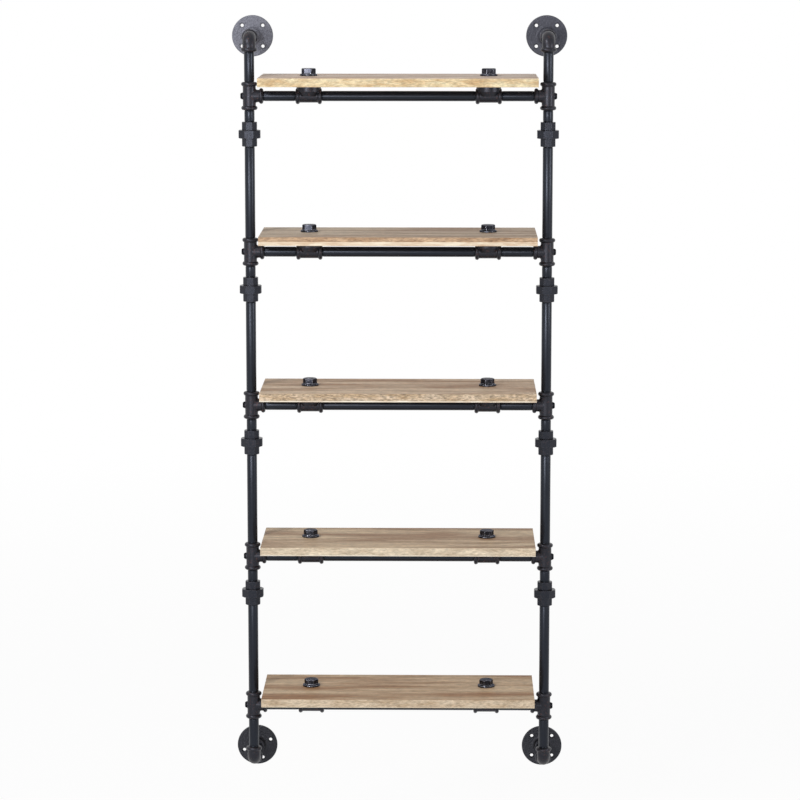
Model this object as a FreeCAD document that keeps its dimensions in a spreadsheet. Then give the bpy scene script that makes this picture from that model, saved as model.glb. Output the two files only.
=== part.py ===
import FreeCAD, Part
import math
import os
from types import SimpleNamespace

import Sketcher

# Wall-mounted shelving unit, screwed together from half-inch iron pipe and its cast fittings.
# Two posts stand between wall flanges. At each of five levels a cross rail joins the posts, and
# two seat tees on the rail carry a board, which flanged plug bolts hold down.
# +Z is up, the wall is the plane Y = 0 and the unit stands out from it towards -Y.
# The origin lies on the wall, midway between the four flanges. All lengths are millimetres.

LEVELS = 5
FLANGE_HOLES = 4

SIZES = {
    # pipe and its screwed ends
    "pipe_od": 21.3,
    "pipe_wall": 2.77,
    "thread_depth": 13.0,
    "socket_gap": 0.12,
    # lengths of the cut pipes and nipples
    "wall_nipple_length": 101.6,
    "riser_nipple_length": 88.9,
    "short_nipple_length": 50.8,
    "post_pipe_length": 218.0,
    "cross_end_length": 93.8,
    "cross_middle_length": 346.6,
    # cast fittings: centre to end, wall round a socket, rounded band at each end
    "fitting_reach": 29.0,
    "casting_wall": 2.85,
    "branch_step": 0.6,
    "band_width": 8.5,
    "band_rise": 3.3,
    "casting_fillet": 3.0,
    "boss_od": 15.0,
    "boss_rise": 0.5,
    # seat tee: the wide branch below a board
    "seat_reach": 27.2,
    "seat_height": 24.0,
    "seat_od": 51.0,
    "seat_rim": 14.0,
    "seat_root_od": 40.0,
    "seat_edge": 1.5,
    # three-piece union
    "union_length": 51.0,
    "union_end_wall": 4.7,
    "union_end_length": 17.0,
    "union_neck_step": 1.2,
    "union_collar_rise": 3.0,
    "union_collar_length": 3.5,
    "union_thread_step": 1.1,
    "nut_wall": 3.8,
    "nut_lip": 4.0,
    "turning_gap": 0.3,
    # wall flange
    "flange_od": 87.0,
    "flange_plate": 5.5,
    "flange_edge": 2.0,
    "flange_height": 20.0,
    "flange_hub_wall": 5.6,
    "flange_hub_fillet": 7.0,
    "flange_hub_edge": 1.2,
    "flange_hole_circle": 62.0,
    "flange_hole": 7.0,
    "flange_countersink": 2.2,
    "flange_turn": 45.0,
    "loose_flange_turn": 22.0,
    # flanged plug bolt
    "plug_thread_od": 26.4,
    "plug_engagement": 11.5,
    "plug_end_gap": 0.5,
    "plug_flange_od": 36.2,
    "plug_flange_thickness": 3.5,
    "plug_flange_slope": 1.8,
    "plug_hex_flats": 26.0,
    "plug_hex_height": 10.3,
    "plug_turn_left": -7.0,
    "plug_turn_right": 12.0,
    # side screw in the back of a post tee
    "screw_od": 8.0,
    "screw_length": 6.0,
    "screw_head_od": 14.0,
    "screw_head_height": 4.4,
    "screw_head_edge": 1.0,
    "screw_key_flats": 5.0,
    "screw_key_depth": 2.5,
    # shelf board
    "shelf_thickness": 18.0,
    "shelf_front_reach": 120.0,
    "shelf_back_reach": 100.0,
    "shelf_end_gap": 6.5,
    "shelf_edge": 1.0,
    "shelf_hole_gap": 0.5,
    # every cut runs past the face that it opens
    "cut_overrun": 2.0,
}
HEXAGON = 6
OCTAGON = 8
SHARE_DIGITS = 12
CHAMFER_SLOPE_SHARE = math.tan(math.radians(30))


class Size:
    """A length with the sheet expression that it comes from, so one formula gives both."""

    def __init__(self, value, text):
        self.value = value
        self.text = text

    def __add__(self, other):
        other = as_size(other)
        return Size(self.value + other.value, f"({self.text} + {other.text})")

    def __sub__(self, other):
        other = as_size(other)
        return Size(self.value - other.value, f"({self.text} - {other.text})")

    def __mul__(self, other):
        other = as_size(other)
        return Size(self.value * other.value, f"({self.text} * {other.text})")

    def __truediv__(self, other):
        other = as_size(other)
        return Size(self.value / other.value, f"({self.text} / {other.text})")

    def __neg__(self):
        return Size(-self.value, f"(0 - {self.text})")


def as_size(number):
    return number if isinstance(number, Size) else Size(number, f"{number:.{SHARE_DIGITS}f}")


doc = FreeCAD.newDocument("pipe_shelving_unit")
sheet = doc.addObject("Spreadsheet::Sheet", "sizes")
for row, (alias, number) in enumerate(SIZES.items(), start=1):
    sheet.set(f"A{row}", alias)
    sheet.set(f"B{row}", str(number))
    sheet.setAlias(f"B{row}", alias)
doc.recompute()

mm = SimpleNamespace(**{alias: Size(number, f"sizes.{alias}") for alias, number in SIZES.items()})

# Radii and lengths that several pieces share
pipe_r = mm.pipe_od / 2
bore_r = pipe_r - mm.pipe_wall
socket_r = pipe_r + mm.socket_gap
casting_r = socket_r + mm.casting_wall
branch_r = casting_r - mm.branch_step
band_r = casting_r + mm.band_rise
band_round = (mm.band_width * mm.band_width / 4 + mm.band_rise * mm.band_rise) / (mm.band_rise * 2)
shoulder = mm.fitting_reach - mm.thread_depth
seat_shoulder = mm.seat_reach - mm.thread_depth
screw_r = mm.screw_od / 2
screw_seat = casting_r + mm.boss_rise
plug_r = mm.plug_thread_od / 2
plug_hole_bottom = mm.seat_height - mm.plug_engagement - mm.plug_end_gap

# Sketch helpers: every corner of an outline is held from the sketch's origin by bound constraints
ORIGIN_POINT = (-1, 1)


def bind(sketch, constraint, size):
    index = sketch.addConstraint(constraint)
    sketch.setExpression(f"Constraints[{index}]", size.text)


def hold_point(sketch, end, x, y):
    directions = (("DistanceX", "Vertical", as_size(x)), ("DistanceY", "Horizontal", as_size(y)))
    for kind, in_line, place in directions:
        if place.value == 0:
            sketch.addConstraint(Sketcher.Constraint(in_line, *end, *ORIGIN_POINT))
        elif place.value > 0:
            bind(sketch, Sketcher.Constraint(kind, *ORIGIN_POINT, *end, place.value), place)
        else:
            bind(sketch, Sketcher.Constraint(kind, *end, *ORIGIN_POINT, -place.value), -place)


def sketch_on(body, name, role):
    sketch = body.newObject("Sketcher::SketchObject", name)
    plane = next(feature for feature in body.Origin.OriginFeatures if feature.Role == role)
    sketch.AttachmentSupport = [(plane, "")]
    sketch.MapMode = "FlatFace"
    return sketch


def flat_point(corner):
    return FreeCAD.Vector(as_size(corner[0]).value, as_size(corner[1]).value, 0)


def arc_between(start, end, radius):
    """The short arc from start to end. Its centre is on the left of the chord, or on the right
    where the radius is negative."""
    chord = end - start
    to_left = FreeCAD.Vector(-chord.y, chord.x, 0).normalize()
    rise = math.sqrt(radius**2 - (chord.Length / 2) ** 2)
    centre = (start + end) / 2 + to_left * math.copysign(rise, radius)
    first, last = (start, end) if radius > 0 else (end, start)
    angles = [math.atan2(point.y - centre.y, point.x - centre.x) for point in (first, last)]
    circle = Part.Circle(centre, FreeCAD.Vector(0, 0, 1), abs(radius))
    return Part.ArcOfCircle(circle, *angles)


def draw_outline(sketch, corners):
    """Closed outline through corners (x, y). A third value is the radius of the arc that leads to
    that corner: above zero it bulges out of an outline drawn anticlockwise, below zero into it."""
    ends = []
    for corner, following in zip(corners, corners[1:] + corners[:1]):
        start, end = flat_point(corner), flat_point(following)
        if len(following) == 2:
            curve = sketch.addGeometry(Part.LineSegment(start, end))
            ends.append(((curve, 1), (curve, 2)))
            continue
        radius = following[2]
        curve = sketch.addGeometry(arc_between(start, end, radius.value))
        bulges_out = radius.value > 0
        size = radius if bulges_out else -radius
        bind(sketch, Sketcher.Constraint("Radius", curve, size.value), size)
        ends.append(((curve, 1), (curve, 2)) if bulges_out else ((curve, 2), (curve, 1)))
    for (_, end), (start, _) in zip(ends, ends[1:] + ends[:1]):
        sketch.addConstraint(Sketcher.Constraint("Coincident", *end, *start))
    for corner, (start, _) in zip(corners, ends):
        hold_point(sketch, start, corner[0], corner[1])


def draw_circle(sketch, radius, x=0, y=0):
    centre = flat_point((x, y))
    curve = sketch.addGeometry(Part.Circle(centre, FreeCAD.Vector(0, 0, 1), radius.value))
    bind(sketch, Sketcher.Constraint("Radius", curve, radius.value), radius)
    hold_point(sketch, (curve, 3), x, y)


def corner_radius(sides, flats):
    return flats / 2 / math.cos(math.pi / sides)


def polygon(sides, flats):
    """Corners of a regular polygon of an even number of sides, the lowest of them level."""
    corner_r = corner_radius(sides, flats)
    angles = [math.pi * (2 * corner + 1) / sides - math.pi / 2 for corner in range(sides)]
    shares = [[round(part(angle), SHARE_DIGITS) for part in (math.cos, math.sin)] for angle in angles]
    return [(corner_r * across, corner_r * up) for across, up in shares]


# Feature helpers: a cut that takes nothing away is an error
def new_body(name):
    return doc.addObject("PartDesign::Body", name)


def finish_feature(body, feature, cuts, before):
    doc.recompute()
    if cuts and not body.Shape.Volume < before:
        raise RuntimeError(f"{feature.Name} cuts nothing")
    return feature


def turn(body, name, axis, corners, cuts=False, role="XZ_Plane"):
    """Revolves an outline about the sketch's V_Axis or H_Axis, to add or to cut."""
    before = body.Shape.Volume if cuts else 0
    sketch = sketch_on(body, f"{name}_outline", role)
    draw_outline(sketch, corners)
    feature = body.newObject("PartDesign::Groove" if cuts else "PartDesign::Revolution", name)
    feature.Profile = sketch
    feature.ReferenceAxis = (sketch, [axis])
    feature.Angle = 360
    return finish_feature(body, feature, cuts, before)


def raise_sketch(body, name, sketch, length, cuts=False, reverse=False):
    before = body.Shape.Volume if cuts else 0
    feature = body.newObject("PartDesign::Pocket" if cuts else "PartDesign::Pad", name)
    feature.Profile = sketch
    feature.Reversed = reverse
    feature.setExpression("Length", length.text)
    return finish_feature(body, feature, cuts, before)


def soften(body, kind, name, size_name, size, wanted):
    """Fillets or chamfers the edges of the body that the test picks out."""
    base = body.Tip
    edges = [f"Edge{i}" for i, edge in enumerate(base.Shape.Edges, start=1) if wanted(edge)]
    feature = body.newObject(f"PartDesign::{kind}", name)
    feature.Base = (base, edges)
    feature.setExpression(size_name, size.text)
    doc.recompute()
    return feature


def is_circle(edge, radius):
    return isinstance(edge.Curve, Part.Circle) and math.isclose(edge.Curve.Radius, radius.value)


# Pipes and nipples: plain tube, standing on its lower end
def pipe(name, length):
    body = new_body(name)
    sketch = sketch_on(body, f"{name}_ring", "XY_Plane")
    draw_circle(sketch, pipe_r)
    draw_circle(sketch, bore_r)
    raise_sketch(body, f"{name}_tube", sketch, length)
    return body


# Post tee: the run stands along Z, the branch points to +X and the screw boss to -X
def post_tee():
    body = new_body("post_tee")
    reach = mm.fitting_reach
    band_start = reach - mm.band_width
    run = [
        (0, -reach),
        (casting_r, -reach),
        (casting_r, -band_start, band_round),
        (casting_r, band_start),
        (casting_r, reach, band_round),
        (0, reach),
    ]
    turn(body, "tee_run", "V_Axis", run)
    boss_r = mm.boss_od / 2
    branch = [
        (reach, 0),
        (reach, branch_r),
        (band_start, branch_r, band_round),
        (0, branch_r),
        (0, boss_r),
        (-screw_seat, boss_r),
        (-screw_seat, 0),
    ]
    turn(body, "tee_branch", "H_Axis", branch)
    soften(body, "Fillet", "tee_crotch", "Radius", mm.casting_fillet, is_crotch)
    past_end = reach + mm.cut_overrun
    run_bore = [
        (0, -past_end),
        (socket_r, -past_end),
        (socket_r, -shoulder),
        (bore_r, -shoulder),
        (bore_r, shoulder),
        (socket_r, shoulder),
        (socket_r, past_end),
        (0, past_end),
    ]
    turn(body, "tee_run_bore", "V_Axis", run_bore, cuts=True)
    screw_hole_r = screw_r + mm.socket_gap
    past_boss = screw_seat + mm.cut_overrun
    branch_bore = [
        (past_end, 0),
        (past_end, socket_r),
        (shoulder, socket_r),
        (shoulder, bore_r),
        (0, bore_r),
        (0, screw_hole_r),
        (-past_boss, screw_hole_r),
        (-past_boss, 0),
    ]
    turn(body, "tee_branch_bore", "H_Axis", branch_bore, cuts=True)
    return body


def is_crotch(edge):
    """The saddle edge where the branch of a post tee leaves its run."""
    return not isinstance(edge.Curve, (Part.Circle, Part.Line)) and edge.BoundBox.XMin > 0


# Elbow: one leg hangs along -Z and the other points to +Y
def elbow():
    body = new_body("elbow")
    reach = mm.fitting_reach
    band_start = reach - mm.band_width
    spine = sketch_on(body, "elbow_spine", "YZ_Plane")
    draw_spine(spine)
    sweep_circle(body, "elbow_wall", spine, casting_r)
    upright_band = [
        (0, -reach),
        (casting_r, -reach),
        (casting_r, -band_start, band_round),
        (0, -band_start),
    ]
    turn(body, "upright_band", "V_Axis", upright_band, role="YZ_Plane")
    level_band = [
        (reach, 0),
        (reach, casting_r),
        (band_start, casting_r, band_round),
        (band_start, 0),
    ]
    turn(body, "level_band", "H_Axis", level_band, role="YZ_Plane")
    sweep_circle(body, "elbow_bore", spine, bore_r, cuts=True)
    past_end = reach + mm.cut_overrun
    upright_socket = [(0, -past_end), (socket_r, -past_end), (socket_r, -shoulder), (0, -shoulder)]
    turn(body, "upright_socket", "V_Axis", upright_socket, cuts=True, role="YZ_Plane")
    level_socket = [(past_end, 0), (past_end, socket_r), (shoulder, socket_r), (shoulder, 0)]
    turn(body, "level_socket", "H_Axis", level_socket, cuts=True, role="YZ_Plane")
    return body


def draw_spine(sketch):
    """Centre line of the elbow: up, round a quarter bend, and level."""
    reach, bend = mm.fitting_reach, shoulder
    places = [(0, -reach), (0, -bend), (bend, 0), (reach, 0)]
    points = [flat_point(place) for place in places]
    rise = sketch.addGeometry(Part.LineSegment(points[0], points[1]))
    curve = sketch.addGeometry(arc_between(points[1], points[2], -bend.value))
    level = sketch.addGeometry(Part.LineSegment(points[2], points[3]))
    bind(sketch, Sketcher.Constraint("Radius", curve, bend.value), bend)
    sketch.addConstraint(Sketcher.Constraint("Coincident", rise, 2, curve, 2))
    sketch.addConstraint(Sketcher.Constraint("Coincident", curve, 1, level, 1))
    for end, place in zip(((rise, 1), (rise, 2), (level, 1), (level, 2)), places):
        hold_point(sketch, end, *place)


def sweep_circle(body, name, spine, radius, cuts=False):
    """Sweeps a circle along the elbow's centre line from its lower end, to add or to cut."""
    before = body.Shape.Volume if cuts else 0
    ring = sketch_on(body, f"{name}_ring", "XY_Plane")
    ring.setExpression("AttachmentOffset.Base.z", (-mm.fitting_reach).text)
    draw_circle(ring, radius)
    feature = body.newObject("PartDesign::SubtractivePipe" if cuts else "PartDesign::AdditivePipe", name)
    feature.Profile = ring
    feature.Spine = (spine, ["Edge1", "Edge2", "Edge3"])
    return finish_feature(body, feature, cuts, before)


# Seat tee: the run lies along X and the wide seat looks up
def seat_tee():
    body = new_body("seat_tee")
    reach = mm.seat_reach
    band_start = reach - mm.band_width
    run = [
        (reach, 0),
        (reach, casting_r),
        (band_start, casting_r, band_round),
        (-band_start, casting_r),
        (-reach, casting_r, band_round),
        (-reach, 0),
    ]
    turn(body, "seat_run", "H_Axis", run)
    seat_r = mm.seat_od / 2
    root_r = mm.seat_root_od / 2
    top = mm.seat_height
    rim_bottom = top - mm.seat_rim
    bowl = [
        (0, 0),
        (root_r, 0),
        (seat_r, rim_bottom),
        (seat_r, top - mm.seat_edge),
        (seat_r - mm.seat_edge, top, mm.seat_edge),
        (0, top),
    ]
    turn(body, "seat_bowl", "V_Axis", bowl)
    past_end = reach + mm.cut_overrun
    run_bore = [
        (past_end, 0),
        (past_end, socket_r),
        (seat_shoulder, socket_r),
        (seat_shoulder, bore_r),
        (-seat_shoulder, bore_r),
        (-seat_shoulder, socket_r),
        (-past_end, socket_r),
        (-past_end, 0),
    ]
    turn(body, "seat_run_bore", "H_Axis", run_bore, cuts=True)
    plug_hole_r = plug_r + mm.socket_gap
    past_top = top + mm.cut_overrun
    plug_hole = [
        (0, 0),
        (bore_r, 0),
        (bore_r, plug_hole_bottom),
        (plug_hole_r, plug_hole_bottom),
        (plug_hole_r, past_top),
        (0, past_top),
    ]
    turn(body, "seat_plug_hole", "V_Axis", plug_hole, cuts=True)
    return body


# Union: the head piece screws up into the nut, whose lip draws the tail piece down onto it.
# The three pieces share one frame, with the lower end of the union at its origin.
union_end_flats = (socket_r + mm.union_end_wall) * 2
neck_r = union_end_flats / 2 - mm.union_neck_step
collar_r = neck_r + mm.union_collar_rise
head_thread_r = collar_r + mm.union_thread_step
nut_bore_r = head_thread_r + mm.turning_gap
nut_flats = (nut_bore_r + mm.nut_wall) * 2
nut_bottom = mm.union_end_length
nut_top = mm.union_length - mm.union_end_length
lip_bottom = nut_top - mm.nut_lip
collar_top = lip_bottom - mm.turning_gap
collar_bottom = collar_top - mm.union_collar_length


def prism(body, name, sides, flats, bottom, top, ends):
    """Prism between two heights, its corners turned down at the ends that are named."""
    sketch = sketch_on(body, f"{name}_polygon", "XY_Plane")
    sketch.setExpression("AttachmentOffset.Base.z", as_size(bottom).text)
    draw_outline(sketch, polygon(sides, flats))
    raise_sketch(body, f"{name}_prism", sketch, top - bottom)
    corner_r = corner_radius(sides, flats) + mm.cut_overrun
    flat_r = flats / 2
    for end, level, inwards in (("bottom", as_size(bottom), 1), ("top", as_size(top), -1)):
        if end not in ends:
            continue
        slope = (corner_r - flat_r) * CHAMFER_SLOPE_SHARE * inwards
        wedge = [(flat_r, level), (corner_r, level), (corner_r, level + slope)]
        turn(body, f"{name}_{end}_chamfer", "V_Axis", wedge if inwards > 0 else wedge[::-1], cuts=True)


def stepped_bore(body, name, steps):
    """Bores out the steps (radius, lower end, upper end), one above the other."""
    corners = [(0, steps[0][1])]
    for radius, low, high in steps:
        corners += [(radius, low), (radius, high)]
    corners.append((0, steps[-1][2]))
    turn(body, name, "V_Axis", corners, cuts=True)


def union_head():
    body = new_body("union_head")
    end_top = nut_bottom - mm.turning_gap
    prism(body, "head", OCTAGON, union_end_flats, 0, end_top, ("bottom",))
    thread = [(0, end_top), (head_thread_r, end_top), (head_thread_r, collar_bottom), (0, collar_bottom)]
    turn(body, "head_thread", "V_Axis", thread)
    seat = mm.thread_depth
    past_end = -mm.cut_overrun
    past_top = collar_bottom + mm.cut_overrun
    stepped_bore(body, "head_bore", [(socket_r, past_end, seat), (bore_r, seat, past_top)])
    return body


def union_tail():
    body = new_body("union_tail")
    end_bottom = nut_top + mm.turning_gap
    prism(body, "tail", OCTAGON, union_end_flats, end_bottom, mm.union_length, ("top",))
    neck = [
        (0, collar_bottom),
        (collar_r, collar_bottom),
        (collar_r, collar_top),
        (neck_r, collar_top),
        (neck_r, end_bottom),
        (0, end_bottom),
    ]
    turn(body, "tail_neck", "V_Axis", neck)
    seat = mm.union_length - mm.thread_depth
    past_bottom = collar_bottom - mm.cut_overrun
    past_top = mm.union_length + mm.cut_overrun
    stepped_bore(body, "tail_bore", [(bore_r, past_bottom, seat), (socket_r, seat, past_top)])
    return body


def union_nut():
    body = new_body("union_nut")
    prism(body, "nut", OCTAGON, nut_flats, nut_bottom, nut_top, ("bottom", "top"))
    lip_r = neck_r + mm.turning_gap
    past_bottom = nut_bottom - mm.cut_overrun
    past_top = nut_top + mm.cut_overrun
    stepped_bore(body, "nut_bore", [(nut_bore_r, past_bottom, lip_bottom), (lip_r, lip_bottom, past_top)])
    return body


# Wall flange: the plate lies on its back and the hub points up, until it is turned to the wall
def wall_flange():
    body = new_body("wall_flange")
    rim_r = mm.flange_od / 2
    plate = mm.flange_plate
    edge = mm.flange_edge
    fillet = mm.flange_hub_fillet
    hub_r = socket_r + mm.flange_hub_wall
    top = mm.flange_height
    hub_edge = mm.flange_hub_edge
    profile = [
        (0, 0),
        (rim_r, 0),
        (rim_r, plate - edge),
        (rim_r - edge, plate, edge),
        (hub_r + fillet, plate),
        (hub_r, plate + fillet, -fillet),
        (hub_r, top - hub_edge),
        (hub_r - hub_edge, top, hub_edge),
        (0, top),
    ]
    turn(body, "flange_casting", "V_Axis", profile)
    seat = top - mm.thread_depth
    past_back = -mm.cut_overrun
    past_top = top + mm.cut_overrun
    stepped_bore(body, "flange_bore", [(bore_r, past_back, seat), (socket_r, seat, past_top)])
    hole_r = mm.flange_hole / 2
    sketch = sketch_on(body, "flange_hole_circle", "XY_Plane")
    draw_circle(sketch, hole_r, x=mm.flange_hole_circle / 2)
    hole = raise_sketch(body, "flange_hole", sketch, plate + mm.cut_overrun, cuts=True, reverse=True)
    holes = body.newObject("PartDesign::PolarPattern", "flange_holes")
    holes.Originals = [hole]
    holes.Axis = (sketch, ["N_Axis"])
    holes.Angle = 360
    holes.Occurrences = FLANGE_HOLES
    body.Tip = holes
    doc.recompute()
    soften(
        body,
        "Chamfer",
        "flange_countersinks",
        "Size",
        mm.flange_countersink,
        lambda edge: is_circle(edge, hole_r) and edge.BoundBox.ZMin > plate.value / 2,
    )
    return body


# Plug bolt: the underside of its flange is at its origin, the hexagon above and the shank below
def plug_bolt():
    body = new_body("plug_bolt")
    flange_r = mm.plug_flange_od / 2
    flange_top = mm.plug_flange_thickness + mm.plug_flange_slope
    hex_r = mm.plug_hex_flats / 2
    shank_end = -(mm.shelf_thickness + mm.plug_engagement)
    profile = [
        (0, shank_end),
        (plug_r, shank_end),
        (plug_r, 0),
        (flange_r, 0),
        (flange_r, mm.plug_flange_thickness),
        (hex_r, flange_top),
        (0, flange_top),
    ]
    turn(body, "plug_shank", "V_Axis", profile)
    hex_top = flange_top + mm.plug_hex_height
    prism(body, "plug", HEXAGON, mm.plug_hex_flats, mm.plug_flange_thickness, hex_top, ("top",))
    return body


# Side screw: the underside of its head is at its origin, the head towards -X
def side_screw():
    body = new_body("side_screw")
    head_r = mm.screw_head_od / 2
    head = mm.screw_head_height
    edge = mm.screw_head_edge
    crown_r = mm.screw_key_flats
    dome = (head_r * head_r + head * head) / (head * 2)
    profile = [
        (mm.screw_length, 0),
        (mm.screw_length, screw_r),
        (0, screw_r),
        (0, head_r),
        (-edge, head_r),
        (-head, crown_r, dome),
        (-head, 0),
    ]
    turn(body, "screw_turned", "H_Axis", profile)
    sketch = sketch_on(body, "screw_key_hexagon", "YZ_Plane")
    sketch.setExpression("AttachmentOffset.Base.z", (-head).text)
    draw_outline(sketch, polygon(HEXAGON, mm.screw_key_flats))
    raise_sketch(body, "screw_key", sketch, mm.screw_key_depth, cuts=True, reverse=True)
    return body


# Layout: every place follows from how far the pipes screw into the fittings
seat_x = mm.cross_middle_length / 2 + seat_shoulder
post_x = seat_x + seat_shoulder + mm.cross_end_length + shoulder
post_y = -(shoulder + mm.wall_nipple_length + mm.flange_height - mm.thread_depth)
union_drop = shoulder + mm.short_nipple_length + mm.union_length - mm.thread_depth
pitch = union_drop - mm.thread_depth + mm.post_pipe_length + shoulder
elbow_z = pitch * ((LEVELS - 1) / 2) + shoulder + mm.riser_nipple_length + shoulder


# Shelf board: its underside is at its origin, above the axis of the rail
def shelf():
    body = new_body("shelf")
    half_length = post_x - band_r - mm.shelf_end_gap
    front = -mm.shelf_front_reach
    back = mm.shelf_back_reach
    plan = [(-half_length, front), (half_length, front), (half_length, back), (-half_length, back)]
    sketch = sketch_on(body, "shelf_plan", "XY_Plane")
    draw_outline(sketch, plan)
    for side in (-1, 1):
        draw_circle(sketch, plug_r + mm.shelf_hole_gap, x=seat_x * side)
    raise_sketch(body, "shelf_slab", sketch, mm.shelf_thickness)
    soften(
        body,
        "Fillet",
        "shelf_eased_edges",
        "Radius",
        mm.shelf_edge,
        lambda edge: edge.BoundBox.XLength > half_length.value,
    )
    return body


# Placing: each sub-part is a link to its pattern piece, or a compound of such links
UPRIGHT = FreeCAD.Rotation()
ABOUT_X = FreeCAD.Vector(1, 0, 0)
ABOUT_Y = FreeCAD.Vector(0, 1, 0)
ABOUT_Z = FreeCAD.Vector(0, 0, 1)
ALONG_X = FreeCAD.Rotation(ABOUT_Y, 90)
TO_VIEWER = FreeCAD.Rotation(ABOUT_X, 90)
UPSIDE_DOWN = FreeCAD.Rotation(ABOUT_Y, 180)
TURNED_ROUND = FreeCAD.Rotation(ABOUT_Z, 180)
nodes = {}


def place(pattern, x, y, z, rotation=UPRIGHT):
    link = doc.addObject("App::Link", f"{pattern.Name}_at")
    link.LinkedObject = pattern
    link.Placement = FreeCAD.Placement(FreeCAD.Vector(), rotation)
    for axis, distance in zip("xyz", (x, y, z)):
        link.setExpression(f"Placement.Base.{axis}", as_size(distance).text)
    return link


def name_node(name, *links):
    if len(links) == 1:
        subpart = links[0]
    else:
        subpart = doc.addObject("Part::Compound", name)
        subpart.Links = list(links)
    subpart.Label = name
    nodes[name] = subpart


SIDES = {"left": -1, "right": 1}
ENDS = {"top": 1, "bottom": -1}
levels = range(1, LEVELS + 1)
level_z = {level: pitch * ((LEVELS + 1) / 2 - level) for level in levels}

flange_pattern = wall_flange()
wall_nipple = pipe("wall_nipple", mm.wall_nipple_length)
elbow_pattern = elbow()
riser_nipple = pipe("riser_nipple", mm.riser_nipple_length)
tee_pattern = post_tee()
short_nipple = pipe("short_nipple", mm.short_nipple_length)
tail_pattern, nut_pattern, head_pattern = union_tail(), union_nut(), union_head()
post_pipe = pipe("post_pipe", mm.post_pipe_length)
cross_end = pipe("cross_end", mm.cross_end_length)
cross_middle = pipe("cross_middle", mm.cross_middle_length)
seat_pattern = seat_tee()
shelf_pattern = shelf()
plug_pattern = plug_bolt()
screw_pattern = side_screw()

# Wall flanges, nipples, elbows and risers at the four ends of the posts
wall_nipples = []
riser_nipples = []
for end, up in ENDS.items():
    for side, across in SIDES.items():
        x = post_x * across
        z = elbow_z * up
        loose = (end, side) == ("bottom", "left")
        turned = (mm.loose_flange_turn if loose else mm.flange_turn).value
        facing = TO_VIEWER * FreeCAD.Rotation(ABOUT_Z, turned)
        name_node(f"wall_flange_{end}_{side}", place(flange_pattern, x, 0, z, facing))
        nipple_back = -(mm.flange_height - mm.thread_depth)
        wall_nipples.append(place(wall_nipple, x, nipple_back, z, TO_VIEWER))
        bend = UPRIGHT if end == "top" else UPSIDE_DOWN
        name_node(f"elbow_{end}_{side}", place(elbow_pattern, x, post_y, z, bend))
        riser_foot = z - shoulder - mm.riser_nipple_length if end == "top" else z + shoulder
        riser_nipples.append(place(riser_nipple, x, post_y, riser_foot))
name_node("wall_nipples", *wall_nipples)
name_node("riser_nipples", *riser_nipples)

# Posts: a tee at each level, and below all but the last a nipple, a union and a long pipe
side_screws = []
for side, across in SIDES.items():
    x = post_x * across
    facing_in = UPRIGHT if side == "left" else TURNED_ROUND
    short_nipples, tails, heads = [], [], []
    for level in levels:
        z = level_z[level]
        name_node(f"post_tee_{level}_{side}", place(tee_pattern, x, post_y, z, facing_in))
        screw_x = (post_x + screw_seat) * across
        side_screws.append(place(screw_pattern, screw_x, post_y, z, facing_in))
        if level == LEVELS:
            continue
        short_nipples.append(place(short_nipple, x, post_y, z - shoulder - mm.short_nipple_length))
        union_z = z - union_drop
        tails.append(place(tail_pattern, x, post_y, union_z))
        heads.append(place(head_pattern, x, post_y, union_z))
        name_node(f"union_nut_{level}_{side}", place(nut_pattern, x, post_y, union_z))
        pipe_foot = union_z + mm.thread_depth - mm.post_pipe_length
        name_node(f"post_pipe_{level}_{side}", place(post_pipe, x, post_y, pipe_foot))
    name_node(f"short_nipples_{side}", *short_nipples)
    name_node(f"union_tails_{side}", *tails)
    name_node(f"union_heads_{side}", *heads)
name_node("side_screws", *side_screws)

# Rails and boards: two end pipes, a middle pipe and two seat tees carry each board
plug_bolts = {side: [] for side in SIDES}
plug_turns = {"left": mm.plug_turn_left, "right": mm.plug_turn_right}
for level in levels:
    z = level_z[level]
    rail = [place(cross_middle, -(mm.cross_middle_length / 2), post_y, z, ALONG_X)]
    seats = []
    board_top = z + mm.seat_height + mm.shelf_thickness
    for side, across in SIDES.items():
        end_start = -(post_x - shoulder) if side == "left" else seat_x + seat_shoulder
        rail.append(place(cross_end, end_start, post_y, z, ALONG_X))
        seats.append(place(seat_pattern, seat_x * across, post_y, z))
        tightened = FreeCAD.Rotation(ABOUT_Z, plug_turns[side].value)
        plug_bolts[side].append(place(plug_pattern, seat_x * across, post_y, board_top, tightened))
    name_node(f"cross_pipes_{level}", *rail)
    name_node(f"seat_tees_{level}", *seats)
    name_node(f"shelf_{level}", place(shelf_pattern, 0, post_y, z + mm.seat_height))
for side, bolts in plug_bolts.items():
    name_node(f"plug_bolts_{side}", *bolts)

# Check and write: nothing is written unless every object and every solid is sound
doc.recompute()
failed = [item.Label for item in doc.Objects if {"Invalid", "Error"} & set(item.State)]
if failed:
    raise RuntimeError(f"failed objects: {failed}")
shapes = {name: Part.getShape(subpart) for name, subpart in nodes.items()}
for name, shape in shapes.items():
    if shape.isNull() or not shape.isValid() or not shape.Solids:
        raise RuntimeError(f"bad shape: {name}")
os.makedirs("parts", exist_ok=True)
for name, shape in shapes.items():
    shape.exportStep(f"parts/{name}.step")
print(f"{len(shapes)} nodes, {sum(len(shape.Solids) for shape in shapes.values())} solids")
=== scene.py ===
import math

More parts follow.
